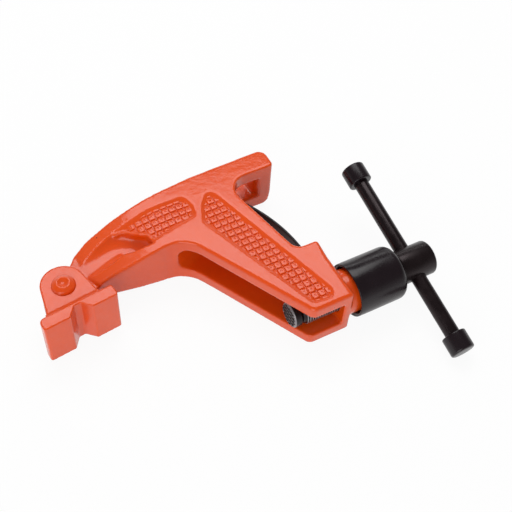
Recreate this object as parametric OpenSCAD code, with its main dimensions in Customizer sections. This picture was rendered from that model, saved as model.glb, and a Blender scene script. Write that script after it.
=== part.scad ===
// Sliding arm of a bar clamp: a cast arm that slides on a flat bar, with a
// screw that bears on the bar's back edge and a swivel shoe that holds the work.
// The arm lies on its side. X runs along the screw, away from the throat.
// Y runs along the bar, towards the head. Z is the arm's thickness.
// The origin is where the screw's axis meets the back face of the bar passage.

/* [Arm casting] */
// Thickness of the casting at the leg and head
arm_t = 32.6; // [31:0.2:36]
// Thickness of the tongue and of the web in the nose
tongue_t = 10; // [8:0.5:11]
// Height of the head's top edge above the screw
head_top = 101; // [98:0.5:106]
// Height of the head's lower face above the screw
head_low = 87.3; // [86:0.1:89]
// Height of the nose's underside above the screw
throat_y = 60.7; // [59:0.1:62]
// Distance of the head's end beyond the bar passage
head_end = 10.6; // [8:0.2:13]
// Distance of the leg's end plane beyond the bar passage
leg_end = 5; // [4:0.5:7]
// Depth of the two grip panels
panel_depth = 1.8; // [1:0.1:3]

/* [Bar passage] */
// Width of the bar that the arm slides on, with its clearance
bar_w = 30.5; // [26:0.5:32]
// Width of the window in the head, across the bar's flat
window_w = 15.4; // [15:0.1:17]
// Gap between the two side plates
slot_w = 17; // [16:0.5:19]

/* [Screw] */
// Outer radius of the thread
screw_r = 8; // [7:0.5:8.5]
// Radial clearance of the screw in its nut bore
screw_gap = 0.05; // [0.02:0.01:0.1]
// Radius of the round nut collar on the leg's end
collar_r = 12.5; // [11.5:0.1:12.7]
// Length of the collar
collar_l = 15; // [12:1:18]
// Radius of the cross-drilled head
head_r = 9.85; // [9:0.05:10.5]
// Length of the cross-drilled head
head_l = 21.3; // [18:0.1:24]
// How far the pad's face stands in front of the passage's back face
pad_reach = 27; // [24:0.5:28]

/* [Thread cover] */
// Outer radius of the cover
cover_r = 15.5; // [15:0.1:17]
// Wall of the cover
cover_wall = 2.2; // [1.8:0.1:2.4]
// Where the cover's open rim is
cover_x = 9.5; // [9:0.1:12]
// Length of the cover
cover_l = 31.3; // [28:0.1:34]

/* [Tommy bar] */
// Radius of the bar
tommy_r = 4.3; // [3:0.1:5]
// Length over both caps
tommy_l = 124.6; // [110:0.2:140]
// Shift of the bar towards its upper cap
tommy_shift = 5; // [0:0.5:10]
// Turn of the bar about the screw, out of the arm's plane
tommy_turn = 12.5; // [0:0.5:15]
// Radius of the caps
cap_r = 7; // [6:0.1:7.5]
// Length of the caps
cap_l = 11; // [9:0.5:13]

/* [Swivel shoe] */
// Pivot of the shoe, along the screw
pivot_x = -128; // [-130:0.5:-126]
// Pivot of the shoe, above the screw
pivot_y = 63.8; // [63:0.1:65]
// Turn of the shoe about its pivot as it lies
shoe_turn = 6.5; // [0:0.5:10]
// Length of the shoe's block
shoe_l = 42.2; // [40:0.2:46]
// Width of the shoe's block
shoe_w = 30; // [26:0.5:32]
// Distance over the two ears
ears_w = 20; // [18:0.5:22]
// Radius of the ears round the pivot
ear_r = 12.1; // [12:0.1:13.4]
// Radius of the rivet's shank
rivet_r = 5; // [4:0.5:6]

/* [Bar spring] */
// Width of the leaf
leaf_w = 12; // [10:0.5:14]
// Thickness of the leaf
leaf_t = 1.2; // [0.8:0.1:1.5]
// Radius that the free leaf is bowed to
leaf_bow = 94; // [80:1:120]

/* [Hidden] */
$fn = 48;

far = 60;                        // longer than any cut needs to be
half_t = arm_t / 2;
web = tongue_t / 2;
nose_x = -56;                    // where the faces start to curve in towards the nose
nose_bow = 114;                  // radius that they curve to
nose_lean = 14;                  // slope of the faces after the curve, down to the web
leg_lean = 0.5357;               // shift of the leg's throat face per mm of height
back_lean = 0.2305;              // shift of the leg's back face per mm of height
leg_low = -12.7;                 // lower end of the leg
horn_top = 27.5;                 // top of the horn over the nut
leg_front = function(y) -26.6 - leg_lean * y;
leg_back = function(y) -1.54 - back_lean * y;

clevis_r = ear_r + 1.9;          // round cut that the ears turn in
clevis_gap = 0.2;                // between the tongue and each ear
ear_half = ears_w / 2;
foot_left = 16.8;                // reach of the ears' feet to each side of the pivot
foot_right = 14.4;
block_top = -15.9;               // back of the shoe's block, from the pivot
block_low = -23.2;               // clamping face, from the pivot
floor_y = -11.5;                 // bottom of the clevis, from the pivot
head_x = cover_x + cover_l + 1.2;
tommy_x = head_x + 9.3;
washer_t = 1.2;
leaf_y = 27.6;                   // where the leaf leaves the leg's end wall
leaf_arc = 30;                   // angle that the bow turns through
rivet_y = 17;                    // height of the leaf's rivet

function unit(a) = a / norm(a);

// Arc of radius r that rounds corner p between its neighbours a and b
function corner(a, p, b, r) =
    let (u = unit(a - p), v = unit(b - p), half = acos(u * v) / 2,
         c = p + unit(u + v) * r / sin(half), s = p + u * r / tan(half) - c,
         e = p + v * r / tan(half) - c, from = atan2(s.y, s.x),
         sweep = (atan2(e.y, e.x) - from + 540) % 360 - 180,
         n = max(1, ceil(abs(sweep) / 12)))
    r == 0 ? [p] : [for (i = [0:n]) c + r * [cos(from + sweep * i / n), sin(from + sweep * i / n)]];

// Outline through corners [x, y, radius]
function rounded(c) =
    let (n = len(c), xy = [for (q = c) [q.x, q.y]])
    [for (i = [0:n - 1]) each corner(xy[(i + n - 1) % n], xy[i], xy[(i + 1) % n], c[i].z)];

// Corners of the casting, from the head's end over the top to the nose and the leg
arm_corners = [
    [head_end, head_low, 2], [head_end, head_top, 5],
    [-38, head_top - 1.5, 60], [-66, head_top - 4.7, 60], [-91, head_top - 8.4, 40],
    [-106.5, head_top - 12.7, 20], [-115.4, head_top - 17.6, 4], [-121.6, head_top - 25.2, 5],
    [pivot_x - 10, pivot_y + 6.2, 7], [pivot_x - 10, pivot_y - 10, 9.2],
    [-105, throat_y - 1.8, 20], [-86, throat_y - 1.3, 30],
    [leg_front(throat_y), throat_y, 18], [leg_front(leg_low), leg_low, 4.5],
    [leg_end, leg_low, 1.5], [leg_end, horn_top, 1.5],
    [leg_back(horn_top), horn_top, 6], [leg_back(head_low), head_low, 11]];

// Panel in the face between the head and the nose
upper_panel = [
    [-46, 72, 5], [-44.5, 80, 6], [-47, 88.6, 4], [-70, 88.5, 30], [-92, 84.8, 1],
    [-88, 72, 3], [-72, 67, 5]];

// Panel that runs down the leg
leg_panel = [
    [-41, 77.5, 5], [-34.5, 85.8, 3], [-29.4, 82.4, 4], [-3, -4.5, 3.5], [-6, -9.3, 4],
    [-17.8, -8.5, 5], [-45.6, 66.5, 7]];

// Deep pocket in the nose, open to the tongue; slopes fill its long sides again
nose_pocket = [
    [pivot_x, 58, 0], [-94, 58, 0], [-93.5, 69.6, 1], [-87, 67.2, 8], [-73.5, 66.2, 1.5],
    [-71.6, 68.4, 1.5], [-90.5, 84.4, 3], [-98, 83.6, 20], [-110, 80.4, 15], [-116, 78, 4],
    [pivot_x, 75, 0]];

// Solid whose thickness follows the casting: full at the leg, curved in to the thin nose
module thickness_envelope(less = 0) {
    n = 10;
    arc = [for (i = [0:n]) let (a = nose_lean * i / n)
        [nose_x - nose_bow * sin(a), half_t - less - nose_bow * (1 - cos(a))]];
    tip = [arc[n].x - (arc[n].y + less - web) / tan(nose_lean), web - less];
    upper = concat(arc, [tip, [-far * 3, web - less]]);
    translate([0, far * 2, 0]) rotate([90, 0, 0]) linear_extrude(far * 4) polygon(concat(
        [[head_end - 4.5, less - half_t], [head_end - 1.8, less - half_t + 2.6], [head_end + 1, -3],
         [head_end + 1, half_t - less]],
        upper, [for (i = [len(upper) - 1:-1:0]) [upper[i].x, -upper[i].y]]));
}

// Cut from both faces of an outline, down to a depth below the tapered face
module face_recess(outline, depth) {
    difference() {
        linear_extrude(far, center = true) polygon(rounded(outline));
        thickness_envelope(depth);
    }
}

// Concave quarter that rises from a floor, as points [across, up]
function scoop(r) = [for (i = [0:9]) r * [sin(10 * i), 1 - cos(10 * i)]];

// Hollow on one face of the nose: a flat web between two scooped sides. The upper side runs
// straight from the tongue, then round a corner under the panel.
module nose_hollow() {
    side_r = 10;
    bend_r = 9.6;
    bend = [-94.3, 65.2];
    side_turn = 9;
    low_r = 6;
    low_from = [-113.5, 67.6];
    low_turn = 18.7;
    low_l = 21.6;
    section = concat([for (q = scoop(side_r)) [q.x + bend_r, q.y]],
                     [[bend_r + side_r, far], [0, far], [0, 0]]);
    low_section = concat([for (q = scoop(low_r)) [-q.x, q.y]],
                         [[-low_r, far], [-far, far], [-far, -1], [0, -1]]);
    translate([0, 0, web]) difference() {
        intersection() {
            linear_extrude(far) polygon(rounded(nose_pocket));
            translate([bend.x, bend.y, 0]) rotate([0, 0, side_turn]) union() {
                intersection() {
                    rotate_extrude($fn = 96) polygon(section);
                    translate([0, -far, 0]) cube([far, far * 2, far]);
                }
                translate([-far, 0, 0]) rotate([90, 0, 90]) linear_extrude(far) polygon(concat(
                    [for (i = [0:len(section) - 3]) section[i]], [[-far, far], [-far, 0]]));
            }
        }
        translate([low_from.x, low_from.y, 0]) rotate([0, 0, low_turn]) translate([low_l - far, 0, 0])
            rotate([90, 0, 90]) linear_extrude(far) polygon(low_section);
    }
}

// Passage for the bar: head window, slot between the side plates and the nut wall
module bar_passage() {
    roof_from = [-bar_w - 3.5, 73];
    roof_turn = 24.3;
    roof_r = 5;
    along = [cos(roof_turn), sin(roof_turn)];
    spring = roof_from + roof_r * [along.y, -along.x];
    linear_extrude(slot_w, center = true) polygon([
        [0, 84], [0, -far], [-far * 2, -far], spring - far * along, spring,
        roof_from, [-bar_w, 82], [-bar_w, 84]]);
    linear_extrude(window_w, center = true) polygon([
        [-0.3, far * 2], [-0.3, head_low + 4.2], [2.6, head_low], [2.6, head_low - 1],
        [0, head_low - 1], [0, 83], [-bar_w, 83], [-bar_w, far * 2]]);
    translate([roof_from.x, roof_from.y, 0]) rotate([0, 0, roof_turn]) {
        corner_z = slot_w / 2 - roof_r;
        translate([-far, -roof_r, -corner_z]) cube([far + 0.5, roof_r, corner_z * 2]);
        for (side = [-1, 1]) translate([0.5, -roof_r, side * corner_z]) rotate([0, -90, 0])
            cylinder(r = roof_r, h = far);
    }
}

module arm() {
    color("orangered") difference() {
        union() {
            intersection() {
                linear_extrude(far, center = true) polygon(rounded(arm_corners));
                thickness_envelope();
            }
            translate([leg_end - 0.5, 0, 0]) rotate([0, 90, 0])
                cylinder(r = collar_r, h = collar_l + 0.5, $fn = 96);
        }
        bar_passage();
        for (side = [0, 1]) mirror([0, 0, side]) {
            nose_hollow();
            translate([pivot_x, pivot_y, web]) {
                cylinder(r = clevis_r, h = far, $fn = 96);
                for (swing = [-10:8:14]) rotate([0, 0, shoe_turn + swing])
                    linear_extrude(far) polygon(ear_points(0.5));
            }
        }
        face_recess(upper_panel, panel_depth);
        face_recess(leg_panel, panel_depth);
        translate([-1, 0, 0]) rotate([0, 90, 0]) cylinder(r = screw_r + screw_gap, h = far, $fn = 96);
        translate([pivot_x, pivot_y, -far]) cylinder(r = rivet_r + 0.05, h = far * 2);
        translate([-1, rivet_y, 0]) rotate([0, 90, 0]) cylinder(r = 2.5, h = far);
        translate([leg_end - 1, rivet_y, 0]) rotate([0, 90, 0]) cylinder(r1 = 2.5, r2 = 3.5, h = 1.001);
    }
}

// Ear outline: round over the pivot, flaring to the block
function ear_points(more = 0) =
    let (c = [0.1, 1.3], r = ear_r + more, foot_y = block_top - 0.2,
         right = [foot_right + more - c.x, foot_y - c.y], left = [foot_left + more + c.x, foot_y - c.y],
         start = atan2(right.y, right.x) + acos(r / norm(right)),
         end = 180 - atan2(left.y, left.x) - acos(r / norm(left)), n = 16)
    concat([[-foot_left - more, foot_y], [foot_right + more, foot_y]],
           [for (i = [0:n]) let (a = start + (end - start) * i / n) c + r * [cos(a), sin(a)]]);

module shoe_block() {
    half = shoe_l / 2;
    notch = 6.5;
    apex = 1.8;
    translate([-0.9, 0, 0]) linear_extrude(shoe_w, center = true) polygon(rounded([
        [-half, block_top, 3], [-half, block_low, 1.2], [-notch, block_low, 0.6],
        [-apex, block_low + 5.5, 1.2], [apex, block_low + 5.5, 1.2], [notch, block_low, 0.6],
        [half, block_low, 1.2], [half, block_top, 1.5]]));
}

// Concave fillet from one ear's face out to the block's edge
module ear_fillet() {
    rise = (shoe_w - ears_w) / 2;
    translate([-foot_left, block_top - 0.2, ear_half]) difference() {
        translate([0, 0, -0.2]) cube([foot_left + foot_right, rise + 0.2, rise + 0.2]);
        translate([-1, rise + 0.2, rise]) rotate([0, 90, 0]) cylinder(r = rise, h = 40);
    }
}

module shoe_at_pivot() {
    translate([pivot_x, pivot_y, 0]) rotate([0, 0, shoe_turn]) children();
}

module swivel_shoe() {
    color("orangered") shoe_at_pivot() difference() {
        union() {
            shoe_block();
            linear_extrude(ears_w, center = true) polygon(ear_points());
            for (side = [0, 1]) mirror([0, 0, side]) ear_fillet();
        }
        translate([-far / 2, floor_y, -web - clevis_gap]) cube([far, far, tongue_t + 2 * clevis_gap]);
        translate([0, 0, -far / 2]) cylinder(r = rivet_r, h = far);
    }
}

// Rivet with a dished crown on each head
module shoe_rivet() {
    head_h = 3;
    color("orangered") shoe_at_pivot() rotate_extrude($fn = 64) polygon([
        [0, -ear_half - head_h + 0.6], [2.4, -ear_half - head_h + 0.6], [3.1, -ear_half - head_h],
        [3.7, -ear_half - head_h], [5.9, -ear_half - 1.6], [6.6, -ear_half - 0.4], [6.6, -ear_half],
        [rivet_r, -ear_half], [rivet_r, ear_half], [6.6, ear_half], [6.6, ear_half + 0.4],
        [5.9, ear_half + 1.6], [3.7, ear_half + head_h], [3.1, ear_half + head_h],
        [2.4, ear_half + head_h - 0.6], [0, ear_half + head_h - 0.6]]);
}

// Half profile turned about the screw's axis
module turned(profile) {
    rotate([0, 90, 0]) rotate_extrude($fn = 96) polygon([for (q = profile) [q.y, q.x]]);
}

// Frame of the tommy bar: Z runs along the bar, towards its upper cap
module along_tommy() {
    translate([tommy_x, 0, 0]) rotate([tommy_turn, 0, 0]) rotate([-90, 0, 0]) children();
}

module spindle() {
    neck = head_x - washer_t;
    clip = neck - cover_wall - 1.2;
    color("dimgray") difference() {
        turned([
            [-pad_reach + 2, 0], [-pad_reach + 2, 3.4], [-pad_reach + 5, 4.2], [-pad_reach + 5.6, 4.2],
            [-pad_reach + 6, 6.6], [-pad_reach + 7.4, screw_r], [clip, screw_r], [clip, 6.9],
            [clip + 1.2, 6.9], [clip + 1.2, screw_r - 0.5], [head_x, screw_r - 0.5], [head_x, head_r - 0.8],
            [head_x + 0.8, head_r], [head_x + head_l - 1.4, head_r], [head_x + head_l - 0.4, head_r - 0.5],
            [head_x + head_l, head_r - 1.4], [head_x + head_l, 0]]);
        along_tommy() cylinder(r = tommy_r + 0.06, h = far, center = true);
    }
}

// Pad that swivels on the screw's end, with cross serrations on its face
module pressure_pad() {
    groove = 0.9;
    color("dimgray") difference() {
        turned([
            [-pad_reach, 0], [-pad_reach, 6.4], [-pad_reach + 1, 7.4], [-pad_reach + 4.4, 7.4],
            [-pad_reach + 5.2, 6.6], [-pad_reach + 5.2, 4.3], [-pad_reach + 5, 4.3],
            [-pad_reach + 1.9, 3.5], [-pad_reach + 1.9, 0]]);
        for (i = [-2:2]) translate([-pad_reach, i * 2.6, 0]) rotate([0, 0, 45])
            cube([groove, groove, far], center = true);
        for (i = [-2:2]) translate([-pad_reach, 0, i * 2.6]) rotate([0, 45, 0])
            cube([groove, far, groove], center = true);
    }
}

// Moulded tube that keeps grit and spatter off the thread
module thread_cover() {
    end = cover_x + cover_l;
    bore = cover_r - cover_wall;
    color("dimgray") turned([
        [cover_x, bore], [cover_x, cover_r - 0.4], [cover_x + 0.4, cover_r], [end - 4, cover_r],
        [end - 2.4, cover_r - 0.4], [end - 1, cover_r - 1.4], [end - 0.3, cover_r - 2.7],
        [end, cover_r - 4], [end, screw_r - 0.5], [end - cover_wall, screw_r - 0.5],
        [end - cover_wall, bore - 2], [end - cover_wall - 2, bore]]);
}

module cover_washer() {
    color("gray") turned([
        [head_x - washer_t, screw_r - 0.5], [head_x - washer_t, head_r + 1.2],
        [head_x - 0.3, head_r + 1.2], [head_x, head_r + 0.8], [head_x, screw_r - 0.5]]);
}

module cover_clip() {
    clip = head_x - washer_t - cover_wall - 1.2;
    color("gray") difference() {
        turned([[clip, 6.9], [clip, 9.6], [clip + 1.2, 9.6], [clip + 1.2, 6.9]]);
        translate([clip, 0, -2]) cube([4, far, 4]);
    }
}

module tommy_bar() {
    color("dimgray") along_tommy() translate([0, 0, tommy_shift])
        cylinder(r = tommy_r, h = tommy_l - 4, center = true);
}

// Cap that is driven on to one end of the bar
module tommy_cap() {
    rotate_extrude($fn = 64) polygon([
        [0, 0], [cap_r - 0.8, 0], [cap_r, -0.8], [cap_r, 0.5 - cap_l], [cap_r - 0.5, -cap_l],
        [tommy_r, -cap_l], [tommy_r, -2], [0, -2]]);
}

module tommy_cap_upper() {
    color("dimgray") along_tommy() translate([0, 0, tommy_shift + tommy_l / 2]) tommy_cap();
}

module tommy_cap_lower() {
    color("dimgray") along_tommy() translate([0, 0, tommy_shift - tommy_l / 2])
        mirror([0, 0, 1]) tommy_cap();
}

// Flat end of the leaf, riveted to the leg's end wall
module spring_foot() {
    color("dimgray") difference() {
        translate([-leaf_t, rivet_y - 5.5, -leaf_w / 2]) cube([leaf_t, leaf_y - rivet_y + 5.3, leaf_w]);
        translate([-leaf_t - 1, rivet_y, 0]) rotate([0, 90, 0]) cylinder(r = 2.5, h = far);
    }
}

// Bowed part of the leaf, with its end turned back as a lead for the bar
module spring_blade() {
    n = 18;
    lead_r = 12;
    lead_arc = 31;
    turn = [-leaf_bow, leaf_y];
    lead_c = turn + (leaf_bow + lead_r) * [cos(leaf_arc), sin(leaf_arc)];
    function strip(off) = concat(
        [for (i = [0:n]) turn + (leaf_bow + off) * [cos(leaf_arc * i / n), sin(leaf_arc * i / n)]],
        [for (i = [1:6]) lead_c + (lead_r - off)
            * [cos(180 + leaf_arc - lead_arc * i / 6), sin(180 + leaf_arc - lead_arc * i / 6)]]);
    inner = strip(-leaf_t);
    color("dimgray") linear_extrude(leaf_w, center = true)
        polygon(concat(strip(0), [for (i = [len(inner) - 1:-1:0]) inner[i]]));
}

module spring_rivet() {
    color("dimgray") translate([0, rivet_y, 0]) rotate([0, 90, 0]) rotate_extrude() polygon([
        [0, -leaf_t - 1.6], [2.2, -leaf_t - 1.6], [3.6, -leaf_t - 0.8], [4, -leaf_t], [2.5, -leaf_t],
        [2.5, leg_end - 1], [3.5, leg_end], [0, leg_end]]);
}

arm();
swivel_shoe();
shoe_rivet();
spindle();
pressure_pad();
thread_cover();
cover_washer();
cover_clip();
tommy_bar();
tommy_cap_upper();
tommy_cap_lower();
spring_foot();
spring_blade();
spring_rivet();
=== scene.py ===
import math

import bpy
import bmesh
from mathutils import Matrix, Vector
from mathutils.kdtree import KDTree


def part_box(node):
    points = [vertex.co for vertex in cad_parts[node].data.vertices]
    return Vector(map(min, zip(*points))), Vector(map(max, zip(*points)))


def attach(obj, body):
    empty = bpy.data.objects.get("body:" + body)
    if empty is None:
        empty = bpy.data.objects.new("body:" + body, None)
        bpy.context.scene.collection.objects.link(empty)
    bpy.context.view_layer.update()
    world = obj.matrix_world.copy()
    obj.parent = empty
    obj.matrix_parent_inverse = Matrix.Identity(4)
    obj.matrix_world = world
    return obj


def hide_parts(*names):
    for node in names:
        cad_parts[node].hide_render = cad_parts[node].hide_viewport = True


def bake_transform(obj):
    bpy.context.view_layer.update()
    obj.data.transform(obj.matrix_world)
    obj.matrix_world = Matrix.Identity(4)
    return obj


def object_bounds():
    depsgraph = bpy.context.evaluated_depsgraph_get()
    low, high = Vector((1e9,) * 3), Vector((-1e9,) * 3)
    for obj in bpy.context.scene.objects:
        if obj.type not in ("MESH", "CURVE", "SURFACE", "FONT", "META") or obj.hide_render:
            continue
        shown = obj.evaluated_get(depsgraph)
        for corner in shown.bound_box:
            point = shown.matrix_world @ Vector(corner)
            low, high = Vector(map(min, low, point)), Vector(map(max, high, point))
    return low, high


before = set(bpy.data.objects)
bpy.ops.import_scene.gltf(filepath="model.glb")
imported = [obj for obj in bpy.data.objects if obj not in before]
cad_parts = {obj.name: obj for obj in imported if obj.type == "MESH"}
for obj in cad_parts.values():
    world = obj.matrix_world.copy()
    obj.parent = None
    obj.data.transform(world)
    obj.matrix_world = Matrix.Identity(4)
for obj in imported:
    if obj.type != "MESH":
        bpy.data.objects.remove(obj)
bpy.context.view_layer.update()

MM = 0.001


# ---------------------------------------------------------------------------
# Arm: one ductile-iron casting with a head, a tapered nose, and a leg of two
# side plates joined by the nut wall. Its edges are soft from the sand mould,
# and the whole of it is dipped in orange enamel.
# ---------------------------------------------------------------------------

def select_only(*pieces):
    if bpy.context.object and bpy.context.object.mode != "OBJECT":
        bpy.ops.object.mode_set(mode="OBJECT")
    bpy.ops.object.select_all(action="DESELECT")
    for piece in pieces:
        piece.select_set(True)
    bpy.context.view_layer.objects.active = pieces[0]


def copy_of_cad(node, name):
    """Merged copy of a CAD node's mesh, as a piece of its own."""
    piece = bpy.data.objects.new(name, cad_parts[node].data.copy())
    bpy.context.scene.collection.objects.link(piece)
    piece.data.materials.clear()
    select_only(piece)
    bpy.ops.object.mode_set(mode="EDIT")
    bpy.ops.mesh.select_all(action="SELECT")
    bpy.ops.mesh.remove_doubles(threshold=0.002 * MM)
    bpy.ops.object.mode_set(mode="OBJECT")
    return piece


def apply_modifier(piece, kind, **settings):
    select_only(piece)
    modifier = piece.modifiers.new(kind.lower(), kind)
    for key, value in settings.items():
        setattr(modifier, key, value)
    bpy.ops.object.modifier_apply(modifier=modifier.name)


def soften_casting(piece, voxel, passes, triangles, reshape=None):
    """Even skin of small faces with the sharp edges rubbed round, as sand casting leaves them."""
    apply_modifier(piece, "REMESH", mode="VOXEL", voxel_size=voxel * MM, adaptivity=0)
    if reshape:
        reshape(piece)
    apply_modifier(piece, "SMOOTH", factor=0.5, iterations=passes)
    count = 2 * len(piece.data.polygons)
    if count > triangles:
        apply_modifier(piece, "DECIMATE", decimate_type="COLLAPSE", ratio=triangles / count)
    bpy.ops.object.shade_smooth()


def finish_piece(piece, body, material, slot, *nodes):
    piece.data.materials.clear()
    piece.data.materials.append(material)
    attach(piece, body)
    if nodes:
        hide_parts(*nodes)


def linear_colour(hex_value):
    """Linear RGBA of an sRGB hex colour."""
    parts = [int(hex_value[i:i + 2], 16) / 255 for i in (1, 3, 5)]
    return [p / 12.92 if p <= 0.04045 else ((p + 0.055) / 1.055) ** 2.4 for p in parts] + [1]


def add_node(tree, kind, settings=None, **inputs):
    """One shader node, with its settings, and each input given a value or a socket to link."""
    made = tree.nodes.new(kind)
    for key, value in (settings or {}).items():
        setattr(made, key, value)
    for key, value in inputs.items():
        at = made.inputs[int(key[1:])] if key[0] == "_" else made.inputs[key.replace("_", " ")]
        if isinstance(value, bpy.types.NodeSocket):
            tree.links.new(value, at)
        else:
            at.default_value = value
    return made


def new_material(name, **shader):
    """Material with one Principled BSDF, whose constants are set on its own sockets."""
    material = bpy.data.materials.new(name)
    material.use_nodes = True
    tree = material.node_tree
    bsdf = tree.nodes["Principled BSDF"]
    for key, value in shader.items():
        bsdf.inputs[key.replace("_", " ")].default_value = value
    place = add_node(tree, "ShaderNodeTexCoord").outputs["Object"]
    return material, tree, bsdf, place


# Enamel: thick, glossy dip coat over cast iron. It has the slow waves of the
# casting under it, fine orange peel, and a few specks where grit sat in the coat.
enamel, tree, bsdf, place = new_material(
    "orange_enamel_on_casting", Roughness=0.4, IOR=1.5, Specular_IOR_Level=0.15, Coat_Weight=0.9,
    Coat_Roughness=0.14, Coat_IOR=1.5)
patches = add_node(tree, "ShaderNodeTexNoise", Vector=place, Scale=45, Detail=2, Roughness=0.5)
tone = add_node(tree, "ShaderNodeMix", {"data_type": "RGBA"}, _0=patches.outputs["Fac"],
                _6=linear_colour("#DE4605"), _7=linear_colour("#E65008"))
speck_place = add_node(tree, "ShaderNodeTexVoronoi", Vector=place, Scale=150, Randomness=1)
speck_size = add_node(tree, "ShaderNodeMapRange", Value=speck_place.outputs["Distance"],
                      From_Min=0.03, From_Max=0.08, To_Min=1, To_Max=0)
speck_pick = add_node(tree, "ShaderNodeSeparateColor", Color=speck_place.outputs["Color"])
speck_few = add_node(tree, "ShaderNodeMath", {"operation": "GREATER_THAN"},
                     _0=speck_pick.outputs["Red"], _1=0.9)
speck = add_node(tree, "ShaderNodeMath", {"operation": "MULTIPLY"},
                 _0=speck_size.outputs[0], _1=speck_few.outputs[0])
coat_colour = add_node(tree, "ShaderNodeMix", {"data_type": "RGBA"}, _0=speck.outputs[0],
                       _6=tone.outputs[2], _7=linear_colour("#7A220C"))
tree.links.new(coat_colour.outputs[2], bsdf.inputs["Base Color"])
dull_places = add_node(tree, "ShaderNodeTexNoise", Vector=place, Scale=420, Detail=3, Roughness=0.6)
coat_film = add_node(tree, "ShaderNodeMapRange", Value=dull_places.outputs["Fac"],
                     From_Min=0.35, From_Max=0.6, To_Min=0.72, To_Max=0.92)
tree.links.new(coat_film.outputs[0], bsdf.inputs["Coat Weight"])
casting_waves = add_node(tree, "ShaderNodeTexNoise", Vector=place, Scale=220, Detail=3, Roughness=0.55)
wave_bump = add_node(tree, "ShaderNodeBump", Strength=0.5, Distance=0.25 * MM,
                     Height=casting_waves.outputs["Fac"])
orange_peel = add_node(tree, "ShaderNodeTexNoise", Vector=place, Scale=900, Detail=1)
peel_bump = add_node(tree, "ShaderNodeBump", Strength=0.3, Distance=0.05 * MM,
                     Height=orange_peel.outputs["Fac"], Normal=wave_bump.outputs[0])
tree.links.new(peel_bump.outputs[0], bsdf.inputs["Normal"])
tree.links.new(peel_bump.outputs[0], bsdf.inputs["Coat Normal"])

arm = copy_of_cad("arm", "arm_casting")
half_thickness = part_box("arm")[1].z
panel_depth = 1.8 * MM
nose_shoulder = -56 * MM                     # the faces are flat up to here,
nose_bow = 114 * MM                          # curve in towards the nose,
nose_lean = math.radians(14)                 # and then run on at this slope


def face_lean(x):
    """Angle by which the casting's face leans at x."""
    reach = max(0, nose_shoulder - x) / nose_bow
    return math.asin(min(reach, math.sin(nose_lean)))


def face_height(x):
    """Height of the casting's face above its middle plane."""
    lean = face_lean(x)
    past_curve = max(0, nose_shoulder - nose_bow * math.sin(nose_lean) - x)
    return half_thickness - nose_bow * (1 - math.cos(lean)) - past_curve * math.tan(nose_lean)


def is_panel_floor(point, up):
    lies_flat = abs(up.z) > 0.9
    return lies_flat and abs(abs(point.z) - face_height(point.x) + panel_depth) < 0.05 * MM


def select_panel_floors():
    """Selects the floors of the four grip panels, in edit mode."""
    bpy.ops.mesh.select_mode(type="FACE")
    bpy.ops.mesh.select_all(action="DESELECT")
    mesh = bmesh.from_edit_mesh(arm.data)
    for face in mesh.faces:
        if all(is_panel_floor(v.co, face.normal) for v in face.verts):
            face.select = True
    mesh.select_flush(True)
    bmesh.update_edit_mesh(arm.data)


def in_microns(place):
    return tuple(round(c * 1e6) for c in place)


# The grip panels' walls slope gently, so that they leave the mould: the floor is
# inset, and what was its rim is raised to the casting's face.
wall_run = 3.1 * MM
select_only(arm)
bpy.ops.object.mode_set(mode="EDIT")
select_panel_floors()
bpy.ops.mesh.region_to_loop()
mesh = bmesh.from_edit_mesh(arm.data)
rims = {in_microns(v.co) for v in mesh.verts if v.select}
select_panel_floors()
bpy.ops.mesh.inset(thickness=wall_run, depth=0, use_boundary=True)
mesh = bmesh.from_edit_mesh(arm.data)
for v in mesh.verts:
    if in_microns(v.co) in rims:
        v.co.z += math.copysign(panel_depth, v.co.z)
bmesh.update_edit_mesh(arm.data)
bpy.ops.mesh.select_all(action="SELECT")
bpy.ops.mesh.remove_doubles(threshold=0.002 * MM)
bpy.ops.object.mode_set(mode="OBJECT")
panel_form = arm.data.copy()                 # sharp form, to find the floors by


def rim_radius(place, out):
    """Radius of the face's edge: wide along the throat and at the leg's end, tight elsewhere."""
    x, y = place.x / MM, place.y / MM
    throat = min(1, max(0, 0.5 - (0.45 * out.x + 0.9 * out.y) / 0.6)) * min(1, max(0, (66 - y) / 25))
    leg_end = min(1, max(0, (10 - y) / 8))
    end_wall = 1.9 * min(1, max(0, (out.x - 0.7) / 0.2)) * min(1, max(0, (26 - y) / 10))
    return (0.8 + max(throat, leg_end, end_wall)) * MM


def roll_rims(piece):
    """Sinks the faces near the casting's outline, as on an edge rounded by hand on the pattern."""
    form = bmesh.new()
    form.from_mesh(panel_form)
    samples = []
    for edge in form.edges:
        if len(edge.link_faces) != 2:
            continue
        flat, wall = sorted(edge.link_faces, key=lambda f: -abs(f.normal.z))
        on_face = all(abs(v.co.z - face_height(v.co.x)) < 0.1 * MM for v in edge.verts)
        if on_face and abs(flat.normal.z) > 0.9 and abs(wall.normal.z) < 0.3:
            ends = [v.co for v in edge.verts]
            count = max(1, int(edge.calc_length() / (0.4 * MM)))
            for k in range(count + 1):
                place = ends[0].lerp(ends[1], k / count)
                samples.append(((place.x, place.y, 0), rim_radius(place, wall.normal)))
    form.free()
    tree = KDTree(len(samples))
    for index, (place, _) in enumerate(samples):
        tree.insert(place, index)
    tree.balance()
    for v in piece.data.vertices:
        below = face_height(v.co.x) - abs(v.co.z)
        if below > 5 * MM:
            continue
        _, index, away = tree.find((v.co.x, v.co.y, 0))
        radius = samples[index][1]
        if away < radius and below < 2 * radius:
            drop = radius - math.sqrt(radius ** 2 - (radius - away) ** 2)
            v.co.z -= math.copysign(drop * (1 - max(0, below) / (2 * radius)), v.co.z)


soften_casting(arm, 0.62, 7, 150000, roll_rims)

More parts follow.
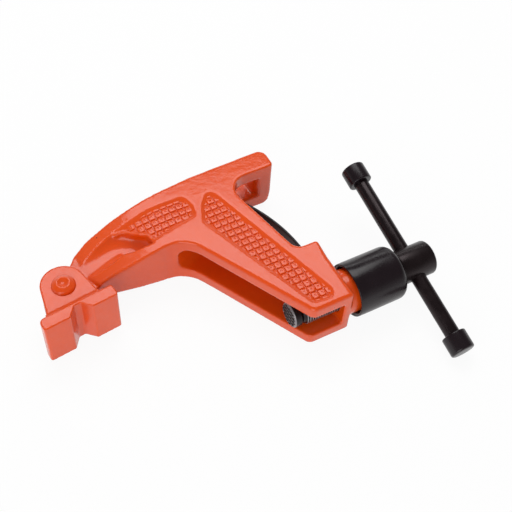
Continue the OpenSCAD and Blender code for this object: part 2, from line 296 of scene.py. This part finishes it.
# Studs of the grip panels: square cushions in a grid with narrow grooves between
# them, each with a small pit. The panel's walls cut into those at its border.
pitch_x = 4.15 * MM
pitch_y = 4.33 * MM
stud_height = 0.7 * MM
bpy.ops.mesh.primitive_cube_add(size=1, location=(0, 0, 0))
stud = bpy.context.object
stud.dimensions = (pitch_x, pitch_y, stud_height * 2)
bpy.ops.object.transform_apply(location=True, rotation=True, scale=True)
bpy.ops.object.mode_set(mode="EDIT")
bpy.ops.mesh.select_mode(type="FACE")
bpy.ops.mesh.select_all(action="DESELECT")
mesh = bmesh.from_edit_mesh(stud.data)
for face in mesh.faces:
    face.select = face.normal.z > 0.5
bpy.ops.transform.resize(value=(0.87, 0.87, 1))
bpy.ops.mesh.select_all(action="SELECT")
bpy.ops.mesh.bevel(offset=0.3 * MM, segments=2, affect="EDGES")
bpy.ops.mesh.select_all(action="DESELECT")
mesh = bmesh.from_edit_mesh(stud.data)
for face in mesh.faces:
    face.select = face.normal.z > 0.99
bpy.ops.mesh.inset(thickness=0.95 * MM, depth=0)
bpy.ops.mesh.inset(thickness=0.25 * MM, depth=-0.35 * MM)
bpy.ops.mesh.select_all(action="DESELECT")
mesh = bmesh.from_edit_mesh(stud.data)
for face in mesh.faces:
    face.select = face.normal.z < -0.9
bpy.ops.mesh.delete(type="FACE")
bpy.ops.object.mode_set(mode="OBJECT")
bpy.ops.object.shade_smooth_by_angle(angle=math.radians(50))

finder = bpy.data.objects.new("panel_finder", panel_form)
bpy.context.scene.collection.objects.link(finder)
bpy.context.view_layer.update()
studs = []
spot_reach = 1.6 * MM                        # nine spots under each stud are felt for depth
spots = [(dx * spot_reach, dy * spot_reach) for dx in (-1, 0, 1) for dy in (-1, 0, 1)]
well_above = 30 * MM
panels_part_x, panels_part_y = -43.5 * MM, 67 * MM
nose_grid = (-48.1 * MM, 82.95 * MM, range(-12, 3), range(-5, 3))
leg_grid = (-26.3 * MM, 57.3 * MM, range(-5, 7), range(-17, 8))
for side in (1, -1):
    for grid in (nose_grid, leg_grid):
        first_x, first_y, columns, rows = grid
        for column, row in ((c, r) for c in columns for r in rows):
            x = first_x + column * pitch_x
            y = first_y + row * pitch_y
            on_nose = x < panels_part_x and y > panels_part_y
            if on_nose != (grid is nose_grid):
                continue
            depths = []
            for dx, dy in spots:
                above = Vector((x + dx, y + dy, side * well_above))
                hit, where, _, _ = finder.ray_cast(above, Vector((0, 0, -side)))
                depths.append(face_height(x + dx) - abs(where.z) if hit else 1)
            off_the_floor = max(depths) > panel_depth + 0.3 * MM
            inside_a_wall = sum(d > panel_depth - stud_height for d in depths) < 2
            if off_the_floor or inside_a_wall:
                continue
            one = bpy.data.objects.new("stud", stud.data.copy())
            lean = Matrix.Rotation(-face_lean(x) * side, 4, "Y")
            turn_over = Matrix.Rotation(0 if side > 0 else math.pi, 4, "X")
            on_floor = Matrix.Translation((x, y, side * (face_height(x) - panel_depth)))
            one.data.transform(on_floor @ lean @ turn_over)
            bpy.context.scene.collection.objects.link(one)
            studs.append(one)
bpy.data.objects.remove(finder)
bpy.data.objects.remove(stud)
select_only(arm, *studs)
bpy.ops.object.join()
finish_piece(arm, "arm", enamel, "enamel", "arm")
print("arm:", len(studs), "studs", len(arm.data.polygons), "faces")


# ---------------------------------------------------------------------------
# Swivel shoe: a small casting in the same enamel. Two round ears straddle the
# nose's tongue, and the block has a V notch to hold round work.
# ---------------------------------------------------------------------------

shoe = copy_of_cad("swivel_shoe", "swivel_shoe_casting")
soften_casting(shoe, 0.42, 6, 60000)
finish_piece(shoe, "shoe", enamel, "enamel", "swivel_shoe")

# Shoe rivet: a cold-headed steel rivet with dished crowns, enamelled over.
rivet = copy_of_cad("shoe_rivet", "shoe_rivet_enamelled")
rivet_low, rivet_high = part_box("shoe_rivet")
rivet_centre = (rivet_low + rivet_high) / 2
crown_reach = 3 * MM
dish_radius = 2.3 * MM
dish_depth = 0.7 * MM


def dish_crowns(piece):
    for v in piece.data.vertices:
        away = math.hypot(v.co.x - rivet_centre.x, v.co.y - rivet_centre.y)
        if away < dish_radius and abs(v.co.z) > rivet_high.z - crown_reach:
            v.co.z -= math.copysign(dish_depth * math.cos(math.pi / 2 * away / dish_radius), v.co.z)


soften_casting(rivet, 0.22, 5, 40000, dish_crowns)
finish_piece(rivet, "shoe", enamel, "enamel", "shoe_rivet")


# ---------------------------------------------------------------------------
# Spindle: M16 screw with a fine rolled thread and a plain cross-drilled head,
# blackened in hot oxide and oiled.
# ---------------------------------------------------------------------------

def turn_on_lathe(name, profile, around=64, centre=(0, 0)):
    """Solid of revolution about the X axis: [x, radius] pairs in mm. The centre argument is not used."""
    bpy.ops.object.select_all(action="DESELECT")
    (x, radius), *rest = profile
    bpy.ops.mesh.primitive_circle_add(vertices=around, radius=radius * MM, location=(x * MM, 0, 0),
                                      rotation=(0, math.pi / 2, 0), fill_type="NOTHING")
    piece = bpy.context.object
    piece.name = name
    bpy.ops.object.transform_apply(location=True, rotation=True, scale=True)
    bpy.ops.object.mode_set(mode="EDIT")
    bpy.ops.mesh.select_mode(type="EDGE")
    bpy.ops.mesh.select_all(action="SELECT")
    for x_next, radius_next in rest:
        bpy.ops.mesh.extrude_region_move(TRANSFORM_OT_translate={"value": ((x_next - x) * MM, 0, 0)})
        grow = radius_next / radius
        bpy.ops.transform.resize(value=(1, grow, grow), center_override=(0, 0, 0))
        x, radius = x_next, radius_next
    bpy.ops.mesh.select_all(action="SELECT")
    bpy.ops.mesh.remove_doubles(threshold=0.001 * MM)
    if profile[0] != profile[-1]:
        bpy.ops.mesh.select_all(action="DESELECT")
        bpy.ops.mesh.select_non_manifold(extend=False, use_boundary=True)
        bpy.ops.mesh.edge_face_add()
    bpy.ops.mesh.select_all(action="SELECT")
    bpy.ops.mesh.normals_make_consistent(inside=False)
    bpy.ops.object.mode_set(mode="OBJECT")
    return piece


def soften_turned(piece, width, angle=25):
    apply_modifier(piece, "BEVEL", width=width * MM, segments=3, limit_method="ANGLE",
                   angle_limit=math.radians(angle), harden_normals=False)
    select_only(piece)
    bpy.ops.object.shade_smooth_by_angle(angle=math.radians(35))


# Black oxide: a thin dark film on machined steel, oiled. It keeps a soft metal
# sheen and goes brown-grey where it is thin. On the thread's crests in the slot and
# on the pad's front chamfer a pale grey is painted in as a highlight.
black_oxide, tree, bsdf, place = new_material(
    "black_oxide_on_turned_steel", Metallic=0.55, Roughness=0.36, Specular_IOR_Level=0.5)
cloud = add_node(tree, "ShaderNodeTexNoise", Vector=place, Scale=160, Detail=4, Roughness=0.6)
film = add_node(tree, "ShaderNodeMix", {"data_type": "RGBA"}, _0=cloud.outputs["Fac"],
                _6=linear_colour("#1D1416"), _7=linear_colour("#2C2022"))
from_axis = add_node(tree, "ShaderNodeMapping", Vector=place, Scale=(0, 1, 1))
reach = add_node(tree, "ShaderNodeVectorMath", {"operation": "LENGTH"}, _0=from_axis.outputs[0])
along = add_node(tree, "ShaderNodeSeparateXYZ", Vector=place)
# Painted highlight: pale grey on the thread's crests where they show in the slot.
crests = add_node(tree, "ShaderNodeMapRange", Value=reach.outputs["Value"],
                  From_Min=7.5 * MM, From_Max=7.95 * MM, To_Min=0, To_Max=1)
in_slot = add_node(tree, "ShaderNodeMath", {"operation": "LESS_THAN"}, _0=along.outputs["X"],
                   _1=2 * MM)
crest_highlight = add_node(tree, "ShaderNodeMath", {"operation": "MULTIPLY"}, _0=crests.outputs[0],
                       _1=in_slot.outputs[0])
# Painted highlight: pale grey on the pad's front chamfer.
pad_rim = add_node(tree, "ShaderNodeMapRange", Value=reach.outputs["Value"],
                   From_Min=6.2 * MM, From_Max=6.6 * MM, To_Min=0, To_Max=0.8)
pad_front = add_node(tree, "ShaderNodeMapRange", Value=along.outputs["X"],
                     From_Min=-26.2 * MM, From_Max=-25.8 * MM, To_Min=1, To_Max=0)
chamfer_highlight = add_node(tree, "ShaderNodeMath", {"operation": "MULTIPLY"}, _0=pad_rim.outputs[0],
                        _1=pad_front.outputs[0])
painted_highlight = add_node(tree, "ShaderNodeMath", {"operation": "MAXIMUM"}, _0=crest_highlight.outputs[0],
                _1=chamfer_highlight.outputs[0])
oxide_and_highlight = add_node(tree, "ShaderNodeMix", {"data_type": "RGBA"}, _0=painted_highlight.outputs[0],
                _6=film.outputs[2], _7=linear_colour("#A09A9C"))
tree.links.new(oxide_and_highlight.outputs[2], bsdf.inputs["Base Color"])
gloss = add_node(tree, "ShaderNodeMapRange", Value=cloud.outputs["Fac"], From_Min=0.3,
                 From_Max=0.7, To_Min=0.2, To_Max=0.38)
tree.links.new(gloss.outputs[0], bsdf.inputs["Roughness"])
scale_grain = add_node(tree, "ShaderNodeTexNoise", Vector=place, Scale=1100, Detail=2)
grain_bump = add_node(tree, "ShaderNodeBump", Strength=0.35, Distance=0.05 * MM,
                      Height=scale_grain.outputs["Fac"])
tree.links.new(grain_bump.outputs[0], bsdf.inputs["Normal"])

_, spindle_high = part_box("spindle")
head_start = 42.0
head_radius = 9.85
head_end_x = spindle_high.x / MM
thread_radius = 8.0
thread_start = -20.2
thread_pitch = 1.5
thread_depth = 0.92
spindle_core = turn_on_lathe("spindle_screw", [
    [-24.9, 2.6], [-24.9, 3.3], [-22.1, 4.1], [-21.4, 4.1], [-21, 6.3], [thread_start, 7.0],
    [head_start - 1, 7.0], [head_start - 1, 7.5], [head_start, 7.5], [head_start, head_radius - 0.7],
    [head_start + 0.7, head_radius], [head_end_x - 1.4, head_radius], [head_end_x - 0.8, head_radius - 0.2],
    [head_end_x - 0.3, head_radius - 0.65], [head_end_x, head_radius - 1.5]], around=72)

tommy_turn = math.radians(12.5)
tommy_centre = Vector((51.3 * MM, 0, 0))
along_tommy = Matrix.Translation(tommy_centre) @ Matrix.Rotation(tommy_turn - math.pi / 2, 4, "X")
bpy.ops.object.select_all(action="DESELECT")
bpy.ops.mesh.primitive_cylinder_add(vertices=64, radius=4.4 * MM, depth=40 * MM)
drill = bpy.context.object
drill.data.transform(along_tommy)
apply_modifier(spindle_core, "BOOLEAN", operation="DIFFERENCE", object=drill, solver="EXACT")
bpy.data.objects.remove(drill)
soften_turned(spindle_core, 0.3)

# The thread is a ridge wound on the core, one turn each 1.5 mm.
turns = int((head_start - 2.5 - thread_start) / thread_pitch)
steps = 48
ridge = [(-0.75, -0.08), (-0.62, -0.02), (-0.1, thread_depth),
         (0.1, thread_depth), (0.62, -0.02), (0.75, -0.08)]
bpy.ops.object.select_all(action="DESELECT")
bpy.ops.mesh.primitive_circle_add(vertices=len(ridge), radius=1 * MM, fill_type="NOTHING")
thread = bpy.context.object
for corner, (run, rise) in zip(thread.data.vertices, ridge):
    corner.co = ((thread_start + 0.8 + run) * MM, 0, (thread_radius - thread_depth + rise) * MM)
bpy.ops.object.mode_set(mode="EDIT")
bpy.ops.mesh.select_all(action="SELECT")
bpy.ops.object.mode_set(mode="OBJECT")
apply_modifier(thread, "SCREW", axis="X", angle=2 * math.pi, steps=steps, render_steps=steps,
               iterations=turns, screw_offset=thread_pitch * MM, use_smooth_shade=True,
               use_merge_vertices=False)
select_only(thread)
bpy.ops.object.mode_set(mode="EDIT")
bpy.ops.mesh.select_all(action="SELECT")
bpy.ops.mesh.remove_doubles(threshold=0.002 * MM)
bpy.ops.mesh.normals_make_consistent(inside=False)
bpy.ops.object.mode_set(mode="OBJECT")
select_only(spindle_core, thread)
bpy.ops.object.join()
finish_piece(spindle_core, "spindle", black_oxide, "black_oxide", "spindle")


# ---------------------------------------------------------------------------
# Pressure pad: a hardened disc that swivels on the screw's nose, with cross
# serrations cut in its face so that it bites on the bar's edge.
# ---------------------------------------------------------------------------

pad = copy_of_cad("pressure_pad", "pressure_pad_serrated")
soften_turned(pad, 0.12, 30)
finish_piece(pad, "pad", black_oxide, "black_oxide", "pressure_pad")


# ---------------------------------------------------------------------------
# Thread cover: a moulded tube of black nylon that turns with the screw and
# slides over the nut collar. A steel washer and a wire ring hold it.
# ---------------------------------------------------------------------------

# Moulded nylon: satin from a fine spark-eroded mould, with faint flow marks.
nylon, tree, bsdf, place = new_material(
    "moulded_black_nylon", Roughness=0.3, IOR=1.53, Specular_IOR_Level=0.35)
flow = add_node(tree, "ShaderNodeTexNoise", Vector=place, Scale=90, Detail=3)
shade = add_node(tree, "ShaderNodeMix", {"data_type": "RGBA"}, _0=flow.outputs["Fac"],
                 _6=linear_colour("#160D11"), _7=linear_colour("#1F151A"))
tree.links.new(shade.outputs[2], bsdf.inputs["Base Color"])
satin = add_node(tree, "ShaderNodeMapRange", Value=flow.outputs["Fac"], From_Min=0.3,
                 From_Max=0.7, To_Min=0.2, To_Max=0.3)
tree.links.new(satin.outputs[0], bsdf.inputs["Roughness"])
spark_grain = add_node(tree, "ShaderNodeTexNoise", Vector=place, Scale=1500, Detail=1)
spark_bump = add_node(tree, "ShaderNodeBump", Strength=0.3, Distance=0.03 * MM,
                      Height=spark_grain.outputs["Fac"])
tree.links.new(spark_bump.outputs[0], bsdf.inputs["Normal"])

cover_low, cover_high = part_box("thread_cover")
cover_start = cover_low.x / MM
cover_end = cover_high.x / MM
cover_radius = cover_high.z / MM
cover_wall = 2.2
cover_bore = cover_radius - cover_wall
cover_start += 0.2                           # just clear of the leg's end, and bored out to pass its root
cover = turn_on_lathe("thread_cover_tube", [
    [cover_start, cover_bore + 1.1], [cover_start, cover_radius - 0.1],
    [cover_start + 4, cover_radius], [cover_end - 4.5, cover_radius], [cover_end - 3.4, cover_radius - 0.12],
    [cover_end - 2.3, cover_radius - 0.5], [cover_end - 1.3, cover_radius - 1.2],
    [cover_end - 0.6, cover_radius - 2.1], [cover_end - 0.15, cover_radius - 3.2],
    [cover_end, cover_radius - 4.4], [cover_end, 7.5], [cover_end - cover_wall, 7.5],
    [cover_end - cover_wall, cover_bore - 2], [cover_end - cover_wall - 2, cover_bore],
    [cover_start + 1.4, cover_bore], [cover_start, cover_bore + 1.1]], around=96)
soften_turned(cover, 0.35)
finish_piece(cover, "spindle", nylon, "black_plastic", "thread_cover")

washer_low, washer_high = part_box("cover_washer")
washer = turn_on_lathe("cover_washer_steel", [
    [washer_low.x / MM, 7.5], [washer_low.x / MM, washer_high.z / MM],
    [washer_high.x / MM, washer_high.z / MM], [washer_high.x / MM, 7.5], [washer_low.x / MM, 7.5]])
soften_turned(washer, 0.25)
finish_piece(washer, "spindle", black_oxide, "black_oxide", "cover_washer")


# ---------------------------------------------------------------------------
# Tommy bar: an 8.6 mm cross bar, loose in the screw's head, with a turned cap
# driven on to each end so that it can't fall out.
# ---------------------------------------------------------------------------

bar_low, bar_high = -55.3, 65.3               # ends of the bar along itself
rod = turn_on_lathe("tommy_bar_rod", [[bar_low, 3], [bar_low, 4.3], [bar_high, 4.3], [bar_high, 3]])
soften_turned(rod, 0.3)
upright = along_tommy @ Matrix.Rotation(-math.pi / 2, 4, "Y")
rod.data.transform(upright)
finish_piece(rod, "tommy", black_oxide, "black_oxide", "tommy_bar")

cap_radius = 7.0
for name, node, tip, way in (("tommy_cap_upper_turned", "tommy_cap_upper", 67.3, 1),
                             ("tommy_cap_lower_turned", "tommy_cap_lower", -57.3, -1)):
    cap = turn_on_lathe(name, [
        [tip, 3], [tip, cap_radius - 1], [tip - way * 0.25, cap_radius - 0.4], [tip - way * 0.9, cap_radius],
        [tip - way * 10.5, cap_radius], [tip - way * 10.9, cap_radius - 0.3],
        [tip - way * 11, cap_radius - 0.8], [tip - way * 11, 4.32]])
    soften_turned(cap, 0.25)
    cap.data.transform(upright)
    finish_piece(cap, "tommy", nylon, "black_oxide", node)


# ---------------------------------------------------------------------------
# Bar spring: a strip of blued spring steel, riveted to the nut wall and bowed
# along the slot, so that it rubs on the bar's back and stops the arm sliding.
# ---------------------------------------------------------------------------

# Blued spring steel: dark, smooth and slightly oily, with a faint drawn grain.
spring_steel, tree, bsdf, place = new_material(
    "blued_spring_steel", Metallic=0.7, Roughness=0.32)
drawn = add_node(tree, "ShaderNodeMapping", Vector=place, Scale=(1, 0.15, 1))
grain = add_node(tree, "ShaderNodeTexNoise", Vector=drawn.outputs[0], Scale=900, Detail=2)
blue = add_node(tree, "ShaderNodeMix", {"data_type": "RGBA"}, _0=grain.outputs["Fac"],
                _6=linear_colour("#120F12"), _7=linear_colour("#231E22"))
tree.links.new(blue.outputs[2], bsdf.inputs["Base Color"])
drawn_bump = add_node(tree, "ShaderNodeBump", Strength=0.25, Distance=0.02 * MM, Height=grain.outputs["Fac"])
tree.links.new(drawn_bump.outputs[0], bsdf.inputs["Normal"])

leaf_radius = 94.0
leaf_bend_y = 27.6
leaf_arc = math.radians(30)
lead_radius = 12.0
lead_arc = math.radians(31)
leaf_width = 12.0
leaf_thickness = 1.2
foot_bottom = 11.5
foot_length = leaf_bend_y - foot_bottom
bow_length = leaf_radius * leaf_arc
lead_length = lead_radius * lead_arc
leaf_length = foot_length + bow_length + lead_length


def along_leaf(run):
    """Point on the leaf's back face, in mm, at a length run from its foot."""
    if run < foot_length:
        return 0.0, foot_bottom + run
    angle = min((run - foot_length) / leaf_radius, leaf_arc)
    x = -leaf_radius + leaf_radius * math.cos(angle)
    y = leaf_bend_y + leaf_radius * math.sin(angle)
    over = run - foot_length - bow_length
    if over > 0:
        back = over / lead_radius
        cx = -leaf_radius + (leaf_radius + lead_radius) * math.cos(leaf_arc)
        cy = leaf_bend_y + (leaf_radius + lead_radius) * math.sin(leaf_arc)
        x = cx + lead_radius * math.cos(math.pi + leaf_arc - back)
        y = cy + lead_radius * math.sin(math.pi + leaf_arc - back)
    return x, y


bpy.ops.object.select_all(action="DESELECT")
bpy.ops.mesh.primitive_grid_add(x_subdivisions=96, y_subdivisions=10, size=1)
leaf = bpy.context.object
leaf.name = "bar_spring_leaf"
for v in leaf.data.vertices:
    run = (v.co.x + 0.5) * leaf_length
    x, y = along_leaf(run)
    end_round = max(0.0, 3 - min(run, leaf_length - run)) / 3
    half_width = leaf_width / 2 - 1.6 * (1 - math.sqrt(max(0.0, 1 - end_round ** 2)))
    v.co = (x * MM, y * MM, v.co.y * 2 * half_width * MM)
apply_modifier(leaf, "SOLIDIFY", thickness=leaf_thickness * MM, offset=0)
foot_back = max(v.co.x for v in leaf.data.vertices if v.co.y < 20 * MM)
for v in leaf.data.vertices:
    v.co.x -= foot_back + 0.01 * MM            # just clear of the leg's end wall
apply_modifier(leaf, "BEVEL", width=0.2 * MM, segments=2, limit_method="ANGLE", angle_limit=math.radians(50))
select_only(leaf)
bpy.ops.object.mode_set(mode="EDIT")
bpy.ops.mesh.select_all(action="SELECT")
bpy.ops.mesh.normals_make_consistent(inside=False)
bpy.ops.object.mode_set(mode="OBJECT")
bpy.ops.object.shade_smooth_by_angle(angle=math.radians(35))
leaf.data.materials.clear()
leaf.data.materials.append(spring_steel)
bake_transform(leaf)
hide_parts("spring_foot", "spring_blade")

spring_rivet = copy_of_cad("spring_rivet", "spring_rivet_steel")
soften_turned(spring_rivet, 0.15, 30)
finish_piece(spring_rivet, "arm", black_oxide, "black_oxide", "spring_rivet")

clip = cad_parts["cover_clip"]
clip.data.materials.clear()
clip.data.materials.append(spring_steel)


# ---------------------------------------------------------------------------
# Bench and light: a white floor under the arm as it lies on its side, an even
# white sky, a large soft lamp behind and above that the flat faces mirror, a
# narrow one low behind for the black pieces, and two fills.
# ---------------------------------------------------------------------------

lowest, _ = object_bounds()
bpy.ops.object.select_all(action="DESELECT")
bpy.ops.mesh.primitive_plane_add(size=4, location=(-0.02, 0.04, lowest[2] - 0.02 * MM))
floor = bpy.context.object
floor.name = "bench_floor"
# White paper: matt, and bright to the eye, so that only the arm's shadow shows on it.
white_floor, tree, bsdf, _ = new_material("white_paper", Roughness=0.9)
bsdf.inputs["Base Color"].default_value = linear_colour("#F2F2F2")
glow = add_node(tree, "ShaderNodeEmission", Color=(1, 1, 1, 1), Strength=1.0)
ray = add_node(tree, "ShaderNodeLightPath")
seen = add_node(tree, "ShaderNodeMath", {"operation": "MULTIPLY"}, _0=ray.outputs["Is Camera Ray"], _1=0.93)
mirrored = add_node(tree, "ShaderNodeMath", {"operation": "MULTIPLY_ADD"},
                    _0=ray.outputs["Is Glossy Ray"], _1=0.78, _2=seen.outputs[0])
mixed = add_node(tree, "ShaderNodeMixShader", _0=mirrored.outputs[0], _1=bsdf.outputs[0],
                 _2=glow.outputs[0])
tree.links.new(mixed.outputs[0], tree.nodes["Material Output"].inputs["Surface"])
floor.data.materials.append(white_floor)

# The sky is white to the eye, an even light on the pieces, and dimmer in what they mirror.
world = bpy.data.worlds.new("white_sky")
bpy.context.scene.world = world
world.use_nodes = True
sky = world.node_tree
backdrop = sky.nodes["Background"]
backdrop.inputs["Color"].default_value = (1, 1, 1, 1)
sky_way = add_node(sky, "ShaderNodeTexCoord").outputs["Generated"]
sky_height = add_node(sky, "ShaderNodeSeparateXYZ", Vector=sky_way)
sky_mirrored = add_node(sky, "ShaderNodeMapRange", Value=sky_height.outputs["Z"],
                        From_Min=0.1, From_Max=0.45, To_Min=0.5, To_Max=0.14)
sky_ray = add_node(sky, "ShaderNodeLightPath")
sky_level = add_node(sky, "ShaderNodeMix", {"data_type": "FLOAT"}, _0=sky_ray.outputs["Is Glossy Ray"],
                     _2=0.42, _3=sky_mirrored.outputs[0])
sky_seen = add_node(sky, "ShaderNodeMath", {"operation": "MAXIMUM"},
                    _0=sky_ray.outputs["Is Camera Ray"], _1=sky_level.outputs[0])
sky.links.new(sky_seen.outputs[0], backdrop.inputs["Strength"])

lamp_distance = 1.0
lit_centre = Vector((-0.035, 0.04, 0))


def soft_lamp(name, azimuth, elevation, width, height, watts, mirrored=True):
    """Rectangular lamp that faces the arm from a direction in degrees, sized in metres."""
    azimuth, elevation = math.radians(azimuth), math.radians(elevation)
    level = math.cos(elevation)
    towards = Vector((math.cos(azimuth) * level, math.sin(azimuth) * level, math.sin(elevation)))
    data = bpy.data.lights.new(name, "AREA")
    data.shape = "RECTANGLE"
    data.size = width
    data.size_y = height
    data.energy = watts
    lamp = bpy.data.objects.new(name, data)
    lamp.location = lit_centre + towards * lamp_distance
    lamp.rotation_euler = towards.to_track_quat("Z", "Y").to_euler()
    lamp.visible_glossy = mirrored
    bpy.context.scene.collection.objects.link(lamp)


soft_lamp("back_softbox", 71.5, 62.5, 0.8, 0.55, 4.5)
soft_lamp("back_strip", 62, 22, 0.8, 0.1, 0.6)
soft_lamp("overhead_fill", 70, 70, 0.6, 0.6, 1.2, mirrored=False)
soft_lamp("front_fill", 228, 20, 0.75, 0.75, 4.2)

camera_data = bpy.data.cameras.new("bench_camera")
camera_data.lens = 64.48
camera_data.sensor_width = 36
camera = bpy.data.objects.new("bench_camera", camera_data)
right = Vector((0.88156, -0.46999, 0.04432))
up = Vector((0.34954, 0.71297, 0.6079))
back = right.cross(up)
camera_at = Vector((-0.186416, -0.223909, 0.406533))
facing = Matrix((right, up, back)).transposed().to_4x4()
camera.matrix_world = Matrix.Translation(camera_at) @ facing
bpy.context.scene.collection.objects.link(camera)
bpy.context.scene.camera = camera
bpy.context.scene.view_settings.view_transform = "Standard"
